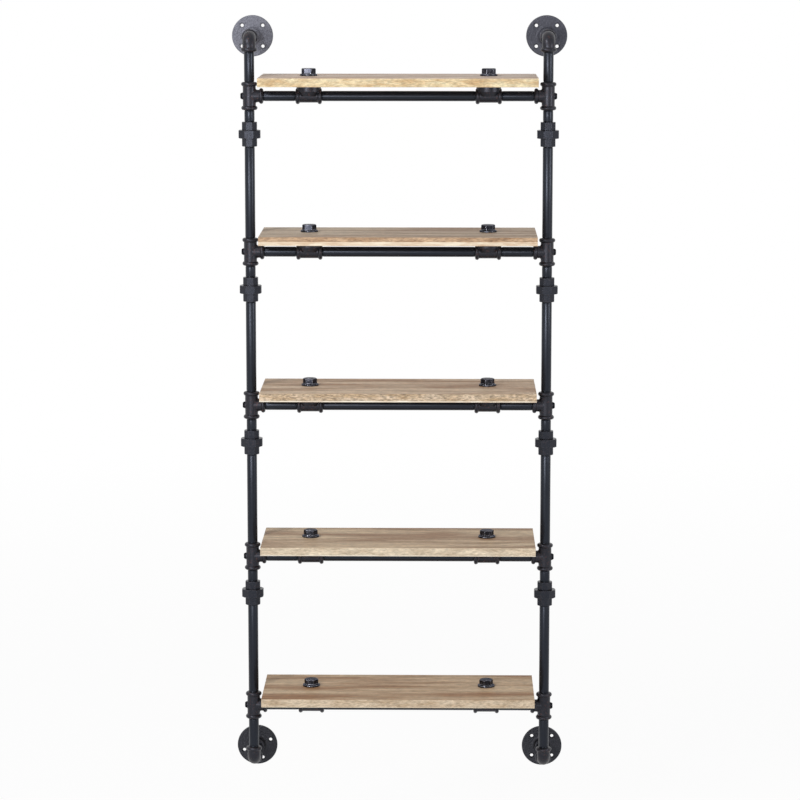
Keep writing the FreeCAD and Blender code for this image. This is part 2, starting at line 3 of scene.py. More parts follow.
import bmesh
import bpy
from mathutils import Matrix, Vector


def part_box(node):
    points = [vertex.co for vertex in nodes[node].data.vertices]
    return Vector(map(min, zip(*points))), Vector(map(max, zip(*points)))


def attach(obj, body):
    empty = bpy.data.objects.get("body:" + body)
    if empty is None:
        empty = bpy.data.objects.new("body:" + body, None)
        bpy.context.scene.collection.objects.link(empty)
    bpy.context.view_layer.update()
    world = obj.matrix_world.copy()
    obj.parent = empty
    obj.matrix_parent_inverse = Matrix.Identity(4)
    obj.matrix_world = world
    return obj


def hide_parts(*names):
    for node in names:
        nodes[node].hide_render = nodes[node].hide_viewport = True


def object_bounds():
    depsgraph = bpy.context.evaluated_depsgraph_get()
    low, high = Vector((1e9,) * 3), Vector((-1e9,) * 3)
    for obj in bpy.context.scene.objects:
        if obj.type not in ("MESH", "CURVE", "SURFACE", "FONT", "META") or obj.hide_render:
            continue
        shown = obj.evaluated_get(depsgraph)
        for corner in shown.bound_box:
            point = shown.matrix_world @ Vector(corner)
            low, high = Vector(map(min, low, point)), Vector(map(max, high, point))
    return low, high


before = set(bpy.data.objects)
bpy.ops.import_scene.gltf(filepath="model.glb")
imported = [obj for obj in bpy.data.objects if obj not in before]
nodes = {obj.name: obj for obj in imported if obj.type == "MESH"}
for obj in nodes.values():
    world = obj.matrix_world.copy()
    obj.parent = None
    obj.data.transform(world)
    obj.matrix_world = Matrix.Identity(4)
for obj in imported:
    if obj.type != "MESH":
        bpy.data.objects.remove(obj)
cad_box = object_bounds()

# Wall flanges
# Four round plates that hold the unit to the wall, one at each end of both posts. They are sand-cast
# in grey iron, drilled and countersunk for four screws, dipped in thin black paint and screwed on.
# Paint and thinned paint for each flange, paler at the top: painted light and shade from above left
FLANGE_PAINTS_LIT_AND_SHADED = {
    "wall_flange_top_left": ("#494a52", "#83848f"),
    "wall_flange_top_right": ("#292a30", "#4d4e58"),
    "wall_flange_bottom_left": ("#0b0c0e", "#1f2024"),
    "wall_flange_bottom_right": ("#0b0c0e", "#222328"),
}
METRES_PER_MM = 0.001
# Foundry sand leaves marks of about half a millimetre. They are drawn coarser, so that they show
FLANGE_PEBBLE_MM = 2.6
FLANGE_RELIEF_MM = 0.9
FLANGE_EDGE_MM = 1.5
RUST_FLECK_MM = 4.5
EDGE_SAMPLES = 6
IRON_SMOOTHER = 0.06
IRON_ROUGHER = 0.1


def linear(hex_colour):
    """An sRGB hex colour as the linear colour that a shader takes."""
    channels = [int(hex_colour[i : i + 2], 16) / 255 for i in (1, 3, 5)]
    curve = [c / 12.92 if c <= 0.04045 else ((c + 0.055) / 1.055) ** 2.4 for c in channels]
    return [*curve, 1.0]


def per_metre(spacing_mm):
    """How often a pattern of that spacing repeats along one metre."""
    return 1 / (spacing_mm * METRES_PER_MM)


def add(tree, kind, inputs=None, out=None, **settings):
    """Adds a node and returns its first output, or the one that out names. An input is set by name
    or by number, to a value or to another node's output."""
    node = tree.nodes.new(kind)
    for setting, value in settings.items():
        setattr(node, setting, value)
    for key, value in (inputs or {}).items():
        named = [socket for socket in node.inputs if socket.enabled and socket.name == key]
        socket = named[0] if named else node.inputs[key]
        if isinstance(value, bpy.types.NodeSocket):
            tree.links.new(value, socket)
        else:
            socket.default_value = value
    shown = [socket for socket in node.outputs if socket.enabled]
    return node.outputs[out] if out else next(iter(shown), None)


def new_material(name):
    material = bpy.data.materials.new(name)
    material.use_nodes = True
    material.node_tree.nodes.clear()
    return material


def dress(node, material):
    """Gives a CAD piece its finish."""
    mesh = nodes[node].data
    mesh.materials.clear()
    mesh.materials.append(material)


def rounded_edges_and_mask(tree, edge_mm):
    """A normal that rounds off every edge over that width, and a mask of where it does."""
    rounded = add(tree, "ShaderNodeBevel", {"Radius": edge_mm * METRES_PER_MM}, samples=EDGE_SAMPLES)
    straight = add(tree, "ShaderNodeNewGeometry", out="Normal")
    likeness = add(
        tree,
        "ShaderNodeVectorMath",
        {0: rounded, 1: straight},
        out="Value",
        operation="DOT_PRODUCT",
    )
    rim = add(tree, "ShaderNodeMapRange", {"Value": likeness, "From Min": 0.99, "From Max": 0.88})
    return rounded, rim


def cast_iron(name, paint, thin, edge_rub_and_painted_light, rust, rust_share, tint, pebble, relief, edge, roughness, gloss):
    """Sand-cast iron under black paint. The sand leaves small round pebbles, the paint thins over
    their tops, and flecks of brown iron show through. The edges take another colour: a paler one on
    fittings and unions, partly rubbed bare and partly a painted highlight, and a near-black one on the
    flanges, a painted shade. Lengths are in millimetres, and gloss and tint are the level and colour
    of the shine."""
    material = new_material(name)
    tree = material.node_tree
    place = add(tree, "ShaderNodeTexCoord", out="Object")
    hollows = add(
        tree,
        "ShaderNodeTexVoronoi",
        {"Vector": place, "Scale": per_metre(pebble), "Smoothness": 0.5},
        out="Distance",
        feature="SMOOTH_F1",
    )
    pebbles = add(tree, "ShaderNodeMapRange", {"Value": hollows, "From Min": 0.7, "From Max": 0.1})
    sand = add(
        tree,
        "ShaderNodeTexNoise",
        {"Vector": place, "Scale": per_metre(pebble), "Detail": 4.0, "Roughness": 0.7},
    )
    height = add(tree, "ShaderNodeMix", {"Factor": 0.5, "A": pebbles, "B": sand}, data_type="FLOAT")
    tops = add(tree, "ShaderNodeMapRange", {"Value": sand, "From Min": 0.3, "From Max": 0.74})
    coat = add(
        tree,
        "ShaderNodeMix",
        {"Factor": tops, "A": linear(paint), "B": linear(thin)},
        data_type="RGBA",
    )
    patches = add(
        tree,
        "ShaderNodeTexNoise",
        {"Vector": place, "Scale": per_metre(RUST_FLECK_MM), "Detail": 3.0, "Roughness": 0.65},
    )
    bare = add(
        tree,
        "ShaderNodeMapRange",
        {"Value": patches, "From Min": 0.56, "From Max": 0.7, "To Max": rust_share},
    )
    flecked = add(
        tree,
        "ShaderNodeMix",
        {"Factor": bare, "A": coat, "B": linear(rust)},
        data_type="RGBA",
    )
    rounded, rim = rounded_edges_and_mask(tree, edge)
    colour = add(
        tree,
        "ShaderNodeMix",
        {"Factor": rim, "A": flecked, "B": linear(edge_rub_and_painted_light)},
        data_type="RGBA",
    )
    sheen = add(
        tree,
        "ShaderNodeMapRange",
        {
            "Value": patches,
            "From Min": 0.3,
            "From Max": 0.7,
            "To Min": roughness - IRON_SMOOTHER,
            "To Max": roughness + IRON_ROUGHER,
        },
    )
    bump = add(
        tree,
        "ShaderNodeBump",
        {"Height": height, "Distance": relief * METRES_PER_MM, "Normal": rounded},
    )
    shader = add(
        tree,
        "ShaderNodeBsdfPrincipled",
        {
            "Base Color": colour,
            "Roughness": sheen,
            "Specular IOR Level": gloss,
            "Specular Tint": linear(tint),
            "Normal": bump,
        },
    )
    add(tree, "ShaderNodeOutputMaterial", {"Surface": shader})
    return material


# One paint in lit and shaded copies: the top left flange is painted much paler and the top right one a
# little paler, as painted light from the upper left, and the bottom two darker, as painted shade
for flange, (paint, thin) in FLANGE_PAINTS_LIT_AND_SHADED.items():
    finish = cast_iron(
        "black_painted_sand_cast_iron",
        paint=paint,
        thin=thin,
        # Near-black edges: a painted shade along the rims and round the countersunk holes
        edge_rub_and_painted_light="#15161a",
        rust="#33292a",
        rust_share=0.25,
        tint="#eef0ff",
        pebble=FLANGE_PEBBLE_MM,
        relief=FLANGE_RELIEF_MM,
        edge=FLANGE_EDGE_MM,
        roughness=0.4,
        gloss=0.4,
    )
    dress(flange, finish)

# Pipes and nipples
# Half-inch steel pipe, drawn smooth and lacquered satin black. Every end carries a taper thread that
# a die has cut, and is screwed into its fitting until about two fading turns are left in sight.
PIPE_NODES = (
    ["wall_nipples", "riser_nipples", "short_nipples_left", "short_nipples_right"]
    + [f"post_pipe_{level}_{side}" for level in range(1, 5) for side in ("left", "right")]
    + [f"cross_pipes_{level}" for level in range(1, 6)]
)
PIPE_WALL_MM = 2.77
PIPE_SIDES = 40
THREAD_PITCH_MM = 1.814
THREAD_DEPTH_MM = 0.7
THREAD_ENGAGED_MM = 13.0
THREAD_HIDDEN_TURNS = 1
THREAD_SHOWN_TURNS = 2
ROWS_PER_TURN = 8
ROW_MARGIN = 0.25
# Points closer than these are one: along the seam of a rolled pipe, and in the mesh of a CAD node
SEAM_MM = 0.01
WELD_MM = 0.001
# Pipes whose lengths in metres agree to this many decimals are made together
LENGTH_DECIMALS = 5
LACQUER_CLOUD_MM = 70.0
LACQUER_SCUFF_MM = 9.0
LACQUER_PEEL_MM = 2.5
LACQUER_PEEL_RELIEF_MM = 0.008


def lacquered_steel():
    """Black lacquer on drawn pipe: an even satin film with faint cloudy patches and a light orange
    peel, which draws the lamps out into soft stripes along the pipe."""
    material = new_material("satin_black_lacquered_steel")
    tree = material.node_tree
    place = add(tree, "ShaderNodeTexCoord", out="Object")
    clouds = add(
        tree,
        "ShaderNodeTexNoise",
        {"Vector": place, "Scale": per_metre(LACQUER_CLOUD_MM), "Detail": 3.0},
    )
    peel = add(
        tree,
        "ShaderNodeTexNoise",
        {"Vector": place, "Scale": per_metre(LACQUER_PEEL_MM), "Detail": 2.0},
    )
    scuffs = add(
        tree,
        "ShaderNodeTexNoise",
        {"Vector": place, "Scale": per_metre(LACQUER_SCUFF_MM), "Detail": 6.0, "Roughness": 0.7},
    )
    film = add(
        tree,
        "ShaderNodeMix",
        {"Factor": clouds, "A": linear("#0c0e12"), "B": linear("#14171d")},
        data_type="RGBA",
    )
    scuffed = add(
        tree,
        "ShaderNodeMapRange",
        {"Value": scuffs, "From Min": 0.6, "From Max": 0.75, "To Max": 0.5},
    )
    colour = add(
        tree,
        "ShaderNodeMix",
        {"Factor": scuffed, "A": film, "B": linear("#22252c")},
        data_type="RGBA",
    )
    sheen = add(
        tree,
        "ShaderNodeMapRange",
        {"Value": clouds, "From Min": 0.3, "From Max": 0.7, "To Min": 0.27, "To Max": 0.33},
    )
    bump = add(
        tree,
        "ShaderNodeBump",
        {"Height": peel, "Distance": LACQUER_PEEL_RELIEF_MM * METRES_PER_MM},
    )
    shader = add(
        tree,
        "ShaderNodeBsdfPrincipled",
        {
            "Base Color": colour,
            "Roughness": sheen,
            "Specular IOR Level": 0.34,
            "Specular Tint": linear("#dfe8ff"),
            "Normal": bump,
        },
    )
    add(tree, "ShaderNodeOutputMaterial", {"Surface": shader})
    return material


def threaded_pipe_tree():
    """Geometry Nodes for like pipes, one from each point: a grid is rolled into a tube row by row, out
    along the wall and back through the bore, with a thread cut near both ends."""
    tree = bpy.data.node_groups.new("threaded_pipes", "GeometryNodeTree")
    tree.interface.new_socket("Geometry", in_out="OUTPUT", socket_type="NodeSocketGeometry")
    tree.interface.new_socket("Starts", in_out="INPUT", socket_type="NodeSocketGeometry")
    for name, kind in (
        ("Direction", "NodeSocketVector"),
        ("Length", "NodeSocketFloat"),
        ("Pipe Radius", "NodeSocketFloat"),
        ("Bore Radius", "NodeSocketFloat"),
        ("Thread Start", "NodeSocketFloat"),
        ("Thread End", "NodeSocketFloat"),
        ("Thread Pitch", "NodeSocketFloat"),
        ("Thread Depth", "NodeSocketFloat"),
        ("Lacquer", "NodeSocketMaterial"),
    ):
        tree.interface.new_socket(name, in_out="INPUT", socket_type=kind)
    given = add(tree, "NodeGroupInput").node.outputs
    # The wall has an end row and the thread rows at each end, then come two bore rows and the seam
    thread_rows = (THREAD_HIDDEN_TURNS + THREAD_SHOWN_TURNS) * ROWS_PER_TURN + 1
    last_wall_row = 2 * thread_rows + 1
    first_bore_row = last_wall_row + 1
    last_bore_row = last_wall_row + 2
    seam_row = last_wall_row + 3
    grid = add(
        tree,
        "GeometryNodeMeshGrid",
        {"Size X": 1.0, "Size Y": 1.0, "Vertices X": PIPE_SIDES + 1, "Vertices Y": seam_row + 1},
        out="Mesh",
    )
    flat = add(tree, "GeometryNodeInputPosition")
    split = add(tree, "ShaderNodeSeparateXYZ", {0: flat}).node.outputs
    turn = add(tree, "ShaderNodeMath", {0: split["X"], 1: 0.5}, operation="ADD")
    up = add(tree, "ShaderNodeMath", {0: split["Y"], 1: 0.5}, operation="ADD")
    row = add(tree, "ShaderNodeMath", {0: up, 1: seam_row}, operation="MULTIPLY")

    def rows_between(first, last):
        """1 on the rows from the first to the last, and 0 on the others."""
        middle = (first + last) / 2
        reach = (last - first) / 2 + ROW_MARGIN
        return add(tree, "ShaderNodeMath", {0: row, 1: middle, 2: reach}, operation="COMPARE")

    # Wall rows count from the near end, and the same way back from the far end
    mirrored = add(tree, "ShaderNodeMath", {0: last_wall_row, 1: row}, operation="SUBTRACT")
    count = add(tree, "ShaderNodeMath", {0: row, 1: mirrored}, operation="MINIMUM")
    in_thread = add(
        tree,
        "ShaderNodeMapRange",
        {
            "Value": count,
            "From Min": 1.0,
            "From Max": float(thread_rows),
            "To Min": given["Thread Start"],
            "To Max": given["Thread End"],
        },
    )
    inside_end = add(tree, "ShaderNodeMath", {0: count, 1: 0.5}, operation="GREATER_THAN")
    from_end = add(tree, "ShaderNodeMath", {0: in_thread, 1: inside_end}, operation="MULTIPLY")
    far_rows = rows_between(thread_rows + 1, first_bore_row)
    across = add(
        tree,
        "ShaderNodeMath",
        {0: from_end, 1: -2.0, 2: given["Length"]},
        operation="MULTIPLY_ADD",
    )
    along = add(
        tree,
        "ShaderNodeMath",
        {0: across, 1: far_rows, 2: from_end},
        operation="MULTIPLY_ADD",
    )
    # The groove winds once round the pipe for each pitch, and runs out towards the plain wall
    pitches = add(tree, "ShaderNodeMath", {0: along, 1: given["Thread Pitch"]}, operation="DIVIDE")
    phase = add(tree, "ShaderNodeMath", {0: pitches, 1: turn}, operation="SUBTRACT")
    flank = add(tree, "ShaderNodeMath", {0: phase, 1: 0.5}, operation="PINGPONG")
    fade_start = add(
        tree,
        "ShaderNodeMath",
        {0: given["Thread End"], 1: given["Thread Pitch"]},
        operation="SUBTRACT",
    )
    fade = add(
        tree,
        "ShaderNodeMapRange",
        {
            "Value": from_end,
            "From Min": fade_start,
            "From Max": given["Thread End"],
            "To Min": 2.0,
            "To Max": 0.0,
        },
    )
    faded = add(tree, "ShaderNodeMath", {0: flank, 1: fade}, operation="MULTIPLY")
    groove = add(tree, "ShaderNodeMath", {0: faded, 1: given["Thread Depth"]}, operation="MULTIPLY")
    wall = add(tree, "ShaderNodeMath", {0: given["Pipe Radius"], 1: groove}, operation="SUBTRACT")
    bore_rows = rows_between(first_bore_row, last_bore_row)
    radius = add(
        tree,
        "ShaderNodeMix",
        {"Factor": bore_rows, "A": wall, "B": given["Bore Radius"]},
        data_type="FLOAT",
    )
    angle = add(tree, "ShaderNodeMath", {0: turn, 1: math.tau}, operation="MULTIPLY")
    cosine = add(tree, "ShaderNodeMath", {0: angle}, operation="COSINE")
    sine = add(tree, "ShaderNodeMath", {0: angle}, operation="SINE")
    x = add(tree, "ShaderNodeMath", {0: cosine, 1: radius}, operation="MULTIPLY")
    y = add(tree, "ShaderNodeMath", {0: sine, 1: radius}, operation="MULTIPLY")
    rolled = add(tree, "ShaderNodeCombineXYZ", {"X": x, "Y": y, "Z": along})
    tube = add(tree, "GeometryNodeSetPosition", {"Geometry": grid, "Position": rolled})
    seam = SEAM_MM * METRES_PER_MM
    closed = add(tree, "GeometryNodeMergeByDistance", {"Geometry": tube, "Distance": seam})
    smooth = add(tree, "GeometryNodeSetShadeSmooth", {"Geometry": closed})
    facing = add(tree, "FunctionNodeAlignRotationToVector", {"Vector": given["Direction"]}, axis="Z")
    laid = add(
        tree,
        "GeometryNodeInstanceOnPoints",
        {"Points": given["Starts"], "Instance": smooth, "Rotation": facing},
    )
    real = add(tree, "GeometryNodeRealizeInstances", {"Geometry": laid})
    finished = add(tree, "GeometryNodeSetMaterial", {"Geometry": real, "Material": given["Lacquer"]})
    add(tree, "NodeGroupOutput", {"Geometry": finished})
    return tree


def solids(node):
    """Lowest and highest corner of each separate solid of a CAD node."""
    merged = bmesh.new()
    merged.from_mesh(nodes[node].data)
    bmesh.ops.remove_doubles(merged, verts=merged.verts, dist=WELD_MM * METRES_PER_MM)
    unseen = set(merged.verts)
    boxes = []
    while unseen:
        waiting = [unseen.pop()]
        corners = []
        while waiting:
            vertex = waiting.pop()
            corners.append(vertex.co)
            linked = {edge.other_vert(vertex) for edge in vertex.link_edges} & unseen
            unseen -= linked
            waiting += linked
        boxes.append(tuple(Vector(map(pick, zip(*corners))) for pick in (min, max)))
    merged.free()
    return boxes


def lay_pipes(tree, sizes, starts):
    """The mesh of like pipes that begin at the given points."""
    points = bpy.data.meshes.new("pipe_starts")
    points.from_pydata(starts, [], [])
    holder = bpy.data.objects.new("pipe_run", points)
    bpy.context.scene.collection.objects.link(holder)
    modifier = holder.modifiers.new("threaded_pipes", "NODES")
    modifier.node_group = tree
    for item in tree.interface.items_tree:
        if item.in_out == "INPUT" and item.name in sizes:
            modifier[item.identifier] = sizes[item.name]
    evaluated = holder.evaluated_get(bpy.context.evaluated_depsgraph_get())
    mesh = bpy.data.meshes.new_from_object(evaluated)
    bpy.data.objects.remove(holder)
    return mesh


pipe_lacquer = lacquered_steel()
pipe_tree = threaded_pipe_tree()
thread_pitch = THREAD_PITCH_MM * METRES_PER_MM
thread_mouth = THREAD_ENGAGED_MM * METRES_PER_MM
for node in PIPE_NODES:
    runs = {}
    for low, high in solids(node):
        size = high - low
        axis = list(size).index(max(size))
        pipe_radius = min(size) / 2
        start = (low + high) / 2
        start[axis] = low[axis]
        runs.setdefault((axis, round(size[axis], LENGTH_DECIMALS)), []).append(start)
    joined = bmesh.new()
    for (axis, length), starts in runs.items():
        sizes = {
            "Direction": [float(i == axis) for i in range(3)],
            "Length": length,
            "Pipe Radius": pipe_radius,
            "Bore Radius": pipe_radius - PIPE_WALL_MM * METRES_PER_MM,
            "Thread Start": thread_mouth - THREAD_HIDDEN_TURNS * thread_pitch,
            "Thread End": thread_mouth + THREAD_SHOWN_TURNS * thread_pitch,
            "Thread Pitch": thread_pitch,
            "Thread Depth": THREAD_DEPTH_MM * METRES_PER_MM,
            "Lacquer": pipe_lacquer,
        }
        joined.from_mesh(lay_pipes(pipe_tree, sizes, starts))
    mesh = bpy.data.meshes.new(f"threaded_{node}")
    joined.to_mesh(mesh)
    joined.free()
    mesh.materials.append(pipe_lacquer)
    piece = bpy.data.objects.new(f"threaded_{node}", mesh)
    bpy.context.scene.collection.objects.link(piece)
    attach(piece, "frame")
    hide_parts(node)

# Elbows, post tees and seat tees
# Malleable iron fittings with a rounded band at each mouth, cast in sand, tumbled, dipped in matt
# black and screwed on the pipes. The coat is thin, and brown iron shows through on the bodies.
FITTING_PEBBLE_MM = 2.4
FITTING_RELIEF_MM = 0.07
FITTING_EDGE_MM = 1.0
fitting_iron = cast_iron(
    "matt_black_malleable_iron",
    paint="#0c0c0f",
    thin="#1a1b1f",
    # Paler edges: partly rubbed bare, partly a painted highlight
    edge_rub_and_painted_light="#2e2b2d",
    rust="#553831",
    rust_share=0.55,
    tint="#e9ebff",
    pebble=FITTING_PEBBLE_MM,
    relief=FITTING_RELIEF_MM,
    edge=FITTING_EDGE_MM,
    roughness=0.36,
    gloss=0.38,
)
for node in nodes:
    if node.startswith(("elbow_", "post_tee_", "seat_tees_")):
        dress(node, fitting_iron)

# Unions
# Three-piece couplings under the upper four tees: a head and a tail piece, and the nut that turns on
# the tail and draws both together. Malleable iron with eight flats, which wrenches have rubbed. Their
# edges are drawn paler, partly from that rubbing and partly as a painted highlight.
UNION_RELIEF_MM = 0.03
union_iron = cast_iron(
    "black_malleable_iron_rubbed_and_painted_highlight",
    paint="#0f1115",
    thin="#1b1d23",
    # Paler edges on the flats: partly rubbed by wrenches, partly a painted highlight
    edge_rub_and_painted_light="#4c4b50",
    rust="#3f2d29",
    rust_share=0.4,
    tint="#e3e9ff",
    pebble=FITTING_PEBBLE_MM,
    relief=UNION_RELIEF_MM,
    edge=FITTING_EDGE_MM,
    roughness=0.28,
    gloss=0.34,
)
for node in nodes:
    if node.startswith("union_"):
        dress(node, union_iron)

# Shelf boards
# Five boards of oak, sawn along the grain, planed and rubbed with a thin grey-brown stain. The stain
# stays off the cut edges, which are pale and flecked. Each board lies on two seats, bolted through.
BOARDS = {
    1: {
        # The top board's face is paler than the others: partly its own tone, partly a painted sheen
        "face": ("#caa98f", "#f4e0cf"),
        "edge": ("#dbcca8", "#ba986c"),
        "fleck_shares": (0.68, 1.12),
        "foot": "#dfcda8",
        "foot_mm": 0.0,
    },
    2: {
        "face": ("#a88b72", "#d8c7b0"),
        "edge": ("#bb9d7f", "#8c6c4e"),
        "fleck_shares": (0.6, 1.16),
        "foot": "#dccfb9",
        "foot_mm": 8.5,
    },
    3: {
        "face": ("#ab8667", "#e2c9ad"),
        "edge": ("#c4b098", "#a88e6e"),
        "fleck_shares": (0.42, 1.24),
        "foot": "#e2dccd",
        "foot_mm": 3.0,
    },
    4: {
        "face": ("#a68568", "#e0c9aa"),
        "edge": ("#d3c4ac", "#b09d85"),
        "fleck_shares": (0.7, 1.12),
        "foot": "#dad4c6",
        "foot_mm": 2.0,
    },
    5: {
        "face": ("#9d7450", "#d4ba9a"),
        "edge": ("#cbb9a1", "#ab9478"),
        "fleck_shares": (0.66, 1.12),
        "foot": "#ccc4b0",
        "foot_mm": 1.5,
    },
}
# Each board is cut from another stretch of the same timber
BOARD_OFFSET_M = 0.83
TONE_LENGTH_MM = 320.0
TONE_WIDTH_MM = 40.0
STREAK_LENGTH_MM = 150.0
STREAK_WIDTH_MM = 8.0
STREAK_SHARES = (0.84, 1.12)
FIGURE_LENGTH_MM = 16.0
FIGURE_WIDTH_MM = 8.0
FIGURE_SHARES = (0.84, 1.12)
# Oak's pores are about a quarter of a millimetre wide, and are drawn coarser, so that they show
PORE_LENGTH_MM = 16.0
PORE_WIDTH_MM = 0.9
PORE_SHARES = (0.78, 1.06)
ZONE_LENGTH_MM = 46.0
ZONE_WIDTH_MM = 9.0
FLECK_LENGTH_MM = 7.0
FLECK_WIDTH_MM = 2.1
GROWTH_RING_MM = 6.0
RING_SHARES = (0.86, 1.06)
PITH_DEPTH_MM = 70.0
RING_WANDER_MM = 16.0
# The wave texture draws this many rings to the unit at a scale of 1
RINGS_PER_UNIT = 20 / math.tau
GRAIN_RELIEF_MM = 0.15


def oak(level, face, edge, fleck_shares, foot, foot_mm):
    """Stained oak: reddish and grey bands along the board, pale and dark streaks, growth rings that
    wander along it and close to arcs on its ends, and open pores. The cut edges are paler, with short
    flecks, and a still paler strip lies along the foot of some."""
    material = new_material(f"stained_oak_{level}")
    tree = material.node_tree
    coords = add(tree, "ShaderNodeTexCoord").node.outputs
    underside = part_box(f"shelf_{level}")[0].z
    pith = (level * BOARD_OFFSET_M, 0.0, PITH_DEPTH_MM * METRES_PER_MM - underside)
    from_pith = add(tree, "ShaderNodeVectorMath", {0: coords["Object"], 1: pith}, operation="ADD")
    patterns = {}
    for name, length, width, detail in (
        ("wander", TONE_LENGTH_MM, TONE_LENGTH_MM, 2.0),
        ("tone", TONE_LENGTH_MM, TONE_WIDTH_MM, 3.0),
        ("streaks", STREAK_LENGTH_MM, STREAK_WIDTH_MM, 3.0),
        ("figure", FIGURE_LENGTH_MM, FIGURE_WIDTH_MM, 2.0),
        ("pores", PORE_LENGTH_MM, PORE_WIDTH_MM, 2.0),
        ("zones", ZONE_LENGTH_MM, ZONE_WIDTH_MM, 3.0),
        ("flecks", FLECK_LENGTH_MM, FLECK_WIDTH_MM, 3.0),
    ):
        scale = (per_metre(length), per_metre(width), per_metre(width))
        stretched = add(tree, "ShaderNodeVectorMath", {0: from_pith, 1: scale}, operation="MULTIPLY")
        patterns[name] = add(
            tree,
            "ShaderNodeTexNoise",
            {"Vector": stretched, "Scale": 1.0, "Detail": detail, "Roughness": 0.6},
            out="Color" if name == "wander" else None,
        )
    reach = 2 * RING_WANDER_MM * METRES_PER_MM
    drift = add(
        tree,
        "ShaderNodeVectorMath",
        {0: patterns["wander"], 1: (0.0, reach, reach), 2: from_pith},
        operation="MULTIPLY_ADD",
    )
    rings = add(
        tree,
        "ShaderNodeTexWave",
        {
            "Vector": drift,
            "Scale": per_metre(GROWTH_RING_MM) / RINGS_PER_UNIT,
            "Distortion": 1.5,
            "Detail": 2.0,
        },
        out="Fac",
        wave_type="RINGS",
        rings_direction="X",
        wave_profile="SAW",
    )

    def grained(wood, pattern, shares, low=0.36, high=0.66):
        """The wood at its palest share where the pattern is low, and at its darkest where it is high."""
        darkest, palest = shares
        share = add(
            tree,
            "ShaderNodeMapRange",
            {"Value": pattern, "From Min": low, "From Max": high, "To Min": palest, "To Max": darkest},
        )
        return add(tree, "ShaderNodeVectorMath", {0: wood, "Scale": share}, operation="SCALE")

    bands = add(
        tree,
        "ShaderNodeMapRange",
        {"Value": patterns["tone"], "From Min": 0.38, "From Max": 0.6},
    )
    planed = add(
        tree,
        "ShaderNodeMix",
        {"Factor": bands, "A": linear(face[0]), "B": linear(face[1])},
        data_type="RGBA",
    )
    planed = grained(planed, patterns["streaks"], STREAK_SHARES)
    planed = grained(planed, patterns["figure"], FIGURE_SHARES)
    planed = grained(planed, rings, RING_SHARES, low=0.0, high=1.0)
    planed = grained(planed, patterns["pores"], PORE_SHARES)
    zone = add(
        tree,
        "ShaderNodeMapRange",
        {"Value": patterns["zones"], "From Min": 0.36, "From Max": 0.7},
    )
    sawn = add(
        tree,
        "ShaderNodeMix",
        {"Factor": zone, "A": linear(edge[0]), "B": linear(edge[1])},
        data_type="RGBA",
    )
    sawn = grained(sawn, patterns["flecks"], fleck_shares)
    strip = add(
        tree,
        "ShaderNodeMix",
        {"Factor": zone, "A": linear(foot), "B": linear(edge[0])},
        data_type="RGBA",
    )
    height = add(tree, "ShaderNodeSeparateXYZ", {0: coords["Object"]}, out="Z")
    foot_top = underside + foot_mm * METRES_PER_MM
    at_foot = add(tree, "ShaderNodeMath", {0: height, 1: foot_top}, operation="LESS_THAN")
    cut = add(tree, "ShaderNodeMix", {"Factor": at_foot, "A": sawn, "B": strip}, data_type="RGBA")
    facing = add(tree, "ShaderNodeSeparateXYZ", {0: coords["Normal"]}, out="Y")
    forward = add(tree, "ShaderNodeMath", {0: facing}, operation="ABSOLUTE")
    on_edge = add(tree, "ShaderNodeMapRange", {"Value": forward, "From Min": 0.6, "From Max": 0.8})
    colour = add(
        tree,
        "ShaderNodeMix",
        {"Factor": on_edge, "A": planed, "B": cut},
        data_type="RGBA",
    )
    relief = add(
        tree,
        "ShaderNodeMath",
        {0: patterns["streaks"], 1: patterns["pores"]},
        operation="SUBTRACT",
    )
    bump = add(
        tree,
        "ShaderNodeBump",
        {"Height": relief, "Distance": GRAIN_RELIEF_MM * METRES_PER_MM},
    )
    shader = add(
        tree,
        "ShaderNodeBsdfPrincipled",
        {"Base Color": colour, "Roughness": 0.58, "Specular IOR Level": 0.3, "Normal": bump},
    )
    add(tree, "ShaderNodeOutputMaterial", {"Surface": shader})
    return material


for level, wood in BOARDS.items():
    dress(f"shelf_{level}", oak(level, **wood))

# Plug bolts
# Flanged hexagon plugs, turned from steel bar and blued dark. Each goes down through a board into the
# seat tee below it, and its flange clamps the board.
BLUED_MARK_MM = 5.0
BLUED_RELIEF_MM = 0.03
# The pale edges, partly rubbed bare and partly a painted glint, are this wide so that they show
BLUED_EDGE_MM = 1.2
# The colour of reflections at a glancing angle, which a bare metal would throw back white
BLUED_GRAZE = "#bababe"
BLUED_SMOOTHER = 0.05
BLUED_ROUGHER = 0.08


